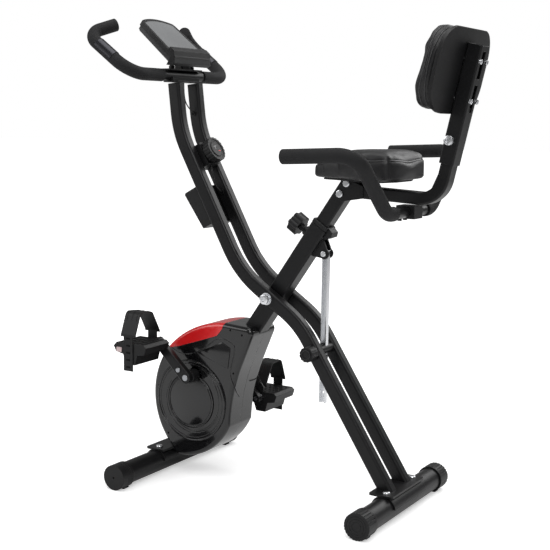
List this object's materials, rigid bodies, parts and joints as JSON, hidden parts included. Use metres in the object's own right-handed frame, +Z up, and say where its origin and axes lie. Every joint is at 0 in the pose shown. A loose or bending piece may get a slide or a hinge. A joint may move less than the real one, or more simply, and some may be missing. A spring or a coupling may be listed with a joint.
{
  "type": "exercise bike",
  "caption": "Folding upright exercise bike with a padded backrest, two handlebars, a console, strapped pedals and an enclosed belt drive with a magnetic brake.",
  "frame": {"origin": "on the floor, below the middle of the bike's bounding box", "axes": "+Z up, the rider faces -X, +Y towards the rider's right"},
  "size_m": [0.9478, 0.561, 1.172],
  "materials": {
    "frame_black": "satin black powder coat",
    "bright_steel": "bright plated steel",
    "plain_steel": "turned steel",
    "cast_weight": "cast iron",
    "gloss_shell": "gloss black moulded plastic",
    "red_trim": "gloss red moulded plastic",
    "black_plastic": "matte black moulded plastic",
    "grey_plastic": "matte grey moulded plastic",
    "screen": "light grey display window",
    "foam": "charcoal foam",
    "soft_rubber": "black rubber",
    "vinyl": "dark padded vinyl",
    "cable_cover": "black sheathed cable"
  },
  "bodies": {
    "frame": {"main_frame": "frame_black", "post_sleeve": "black_plastic", "frame_pins": "plain_steel", "housing_left": "gloss_shell", "housing_right": "gloss_shell", "housing_accent": "red_trim", "housing_screws": "black_plastic", "front_foot_bracket": "frame_black", "front_stabilizer_tube": "frame_black", "front_caps": "black_plastic", "front_foot_bolts": "bright_steel", "drive_belt": "soft_rubber"},
    "rear_frame": {"left_rail": "frame_black", "right_rail": "frame_black", "rear_foot_bracket": "frame_black", "rear_stabilizer_tube": "frame_black", "rear_caps": "black_plastic", "rear_foot_bolts": "bright_steel", "handlebar_mount": "frame_black", "handlebar_tube": "frame_black", "handlebar_grips": "foam", "handlebar_clamp": "frame_black", "pulse_plates": "bright_steel", "console_bezel": "black_plastic", "console_screen": "screen", "console_shell": "grey_plastic", "console_stem": "black_plastic", "tension_mount": "black_plastic", "tension_cable": "cable_cover", "sensor_lead": "cable_cover", "cable_grommets": "soft_rubber", "cable_box": "black_plastic"},
    "strut_link": {"strut": "bright_steel"},
    "crossbar_link": {"crossbar": "frame_black"},
    "lock_knob_body": {"lock_knob": "black_plastic"},
    "seat": {"seat_post": "frame_black", "seat_arm": "frame_black", "saddle_pan": "frame_black", "saddle_cushion": "vinyl", "seat_handlebar": "frame_black", "seat_grips": "foam", "seat_clamp": "frame_black", "backrest_bracket": "frame_black", "backrest_board": "black_plastic", "backrest_cushion": "vinyl", "seat_screws": "bright_steel"},
    "seat_knob_body": {"seat_knob": "black_plastic"},
    "crank": {"crank_axle": "plain_steel", "crank_left": "frame_black", "crank_right": "frame_black", "crank_hardware": "plain_steel", "drive_pulley": "black_plastic"},
    "flywheel_body": {"flywheel": "cast_weight", "flywheel_shaft": "plain_steel"},
    "pedal_left": {"pedal_body_left": "black_plastic", "pedal_strap_left": "soft_rubber"},
    "pedal_right": {"pedal_body_right": "black_plastic", "pedal_strap_right": "soft_rubber"},
    "tension_knob_body": {"tension_knob": "black_plastic"},
    "magnet_body": {"magnet_bracket": "frame_black"}
  },
  "joints": [
    {"name": "frame_fold", "type": "hinge", "parent": "frame", "child": "rear_frame", "pos_m": [-0.043, 0, 0.488], "axis": [0, 1, 0], "range_deg": [0, 35]},
    {"name": "strut_turn", "type": "hinge", "parent": "frame", "child": "strut_link", "pos_m": [0.09079, 0, 0.60389], "axis": [0, 1, 0], "range_deg": [0, 17.5]},
    {"name": "crossbar_turn", "type": "hinge", "parent": "rear_frame", "child": "crossbar_link", "pos_m": [0.08895, 0, 0.37002], "axis": [0, 1, 0], "range_deg": [-17.5, 0]},
    {"name": "lock_knob_turn", "type": "hinge", "parent": "rear_frame", "child": "lock_knob_body", "pos_m": [0.08895, -0.07, 0.37002], "axis": [0, 1, 0], "range_deg": [0, 720]},
    {"name": "seat_height", "type": "slide", "parent": "frame", "child": "seat", "axis": [0.5678, 0, 0.8231], "range_m": [-0.07, 0.05]},
    {"name": "seat_knob_turn", "type": "hinge", "parent": "frame", "child": "seat_knob_body", "pos_m": [0.0585, 0, 0.6386], "axis": [-0.8231, 0, 0.5678], "range_deg": [0, 720]},
    {"name": "crank_spin", "type": "hinge", "parent": "frame", "child": "crank", "pos_m": [-0.2525, 0, 0.272], "axis": [0, 1, 0], "continuous": true},
    {"name": "flywheel_spin", "type": "hinge", "parent": "frame", "child": "flywheel_body", "pos_m": [-0.2786, 0, 0.15], "axis": [0, 1, 0], "continuous": true},
    {"name": "pedal_left_spin", "type": "hinge", "parent": "crank", "child": "pedal_left", "pos_m": [-0.33954, -0.165, 0.3546], "axis": [0, 1, 0], "continuous": true},
    {"name": "pedal_right_spin", "type": "hinge", "parent": "crank", "child": "pedal_right", "pos_m": [-0.16546, 0.165, 0.1894], "axis": [0, 1, 0], "continuous": true},
    {"name": "tension_turn", "type": "hinge", "parent": "rear_frame", "child": "tension_knob_body", "pos_m": [-0.262, 0, 0.829], "axis": [0.878, 0, 0.4786], "range_deg": [0, 300]},
    {"name": "magnet_swing", "type": "hinge", "parent": "frame", "child": "magnet_body", "pos_m": [-0.212, -0.037, 0.226], "axis": [0, 1, 0], "range_deg": [0, 3.5]}
  ],
  "couplings": [
    {"joint": "strut_turn", "follows": "frame_fold", "ratio": 0.5},
    {"joint": "crossbar_turn", "follows": "frame_fold", "ratio": -0.5},
    {"joint": "flywheel_spin", "follows": "crank_spin", "ratio": 5.7143},
    {"joint": "magnet_swing", "follows": "tension_turn", "ratio": 0.011667}
  ]
}
